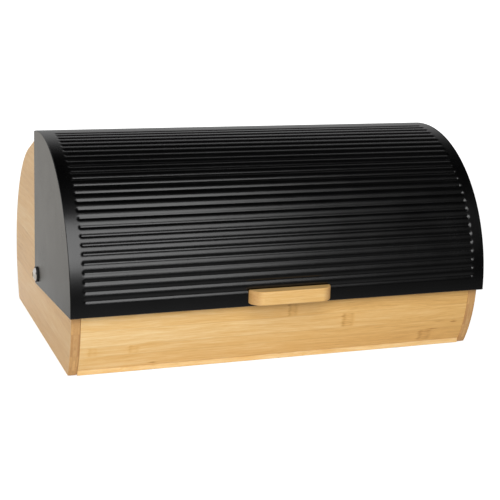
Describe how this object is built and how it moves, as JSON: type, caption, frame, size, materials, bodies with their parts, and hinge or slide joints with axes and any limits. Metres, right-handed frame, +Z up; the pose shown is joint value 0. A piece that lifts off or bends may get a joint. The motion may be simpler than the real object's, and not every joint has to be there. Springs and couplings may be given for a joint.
{
  "type": "bread box",
  "caption": "Bread box with rounded wooden sides, a low wooden front board and a curved black sheet metal lid, pressed with fine grooves, that swings up and back on side pivots.",
  "frame": {"origin": "middle of the footprint of the whole box with its lid closed, on the table under the foot pads", "axes": "+X to the right seen from the front, +Y to the back, +Z up"},
  "size_m": [0.3982, 0.294, 0.1959],
  "materials": {
    "bamboo": "satin clear lacquer over laminated strips",
    "dowel_wood": "plain",
    "black_steel": "satin powder coat",
    "zinc_steel": "zinc plated",
    "chrome": "polished",
    "black_nylon": "matt",
    "white_nylon": "matt",
    "clear_silicone": "soft, slightly milky",
    "grey_rubber": "matt"
  },
  "bodies": {
    "box": {"left_side_panel": "bamboo", "right_side_panel": "bamboo", "front_board": "bamboo", "floor_board": "bamboo", "back_sheet": "black_steel", "top_rail": "bamboo", "rear_batten": "bamboo", "front_dowels": "dowel_wood", "rail_dowels": "dowel_wood", "floor_screws": "zinc_steel", "back_sheet_screws": "zinc_steel", "front_left_pad": "grey_rubber", "front_right_pad": "grey_rubber", "rear_left_pad": "grey_rubber", "rear_right_pad": "grey_rubber", "left_bumper": "clear_silicone", "right_bumper": "clear_silicone", "left_pivot_screw": "chrome", "right_pivot_screw": "chrome", "left_outer_washer": "black_nylon", "right_outer_washer": "black_nylon", "left_inner_washer": "white_nylon", "right_inner_washer": "white_nylon", "left_nut_washer": "zinc_steel", "right_nut_washer": "zinc_steel", "left_cap_nut": "chrome", "right_cap_nut": "chrome"},
    "lid": {"lid_cover": "black_steel", "left_cheek": "black_steel", "right_cheek": "black_steel", "handle": "bamboo", "handle_screws": "zinc_steel", "handle_washers": "zinc_steel"}
  },
  "joints": [
    {"name": "lid_hinge", "type": "hinge", "parent": "box", "child": "lid", "pos_m": [0, 0.016, 0.0583], "axis": [-1, 0, 0], "range_deg": [0, 95]}
  ]
}
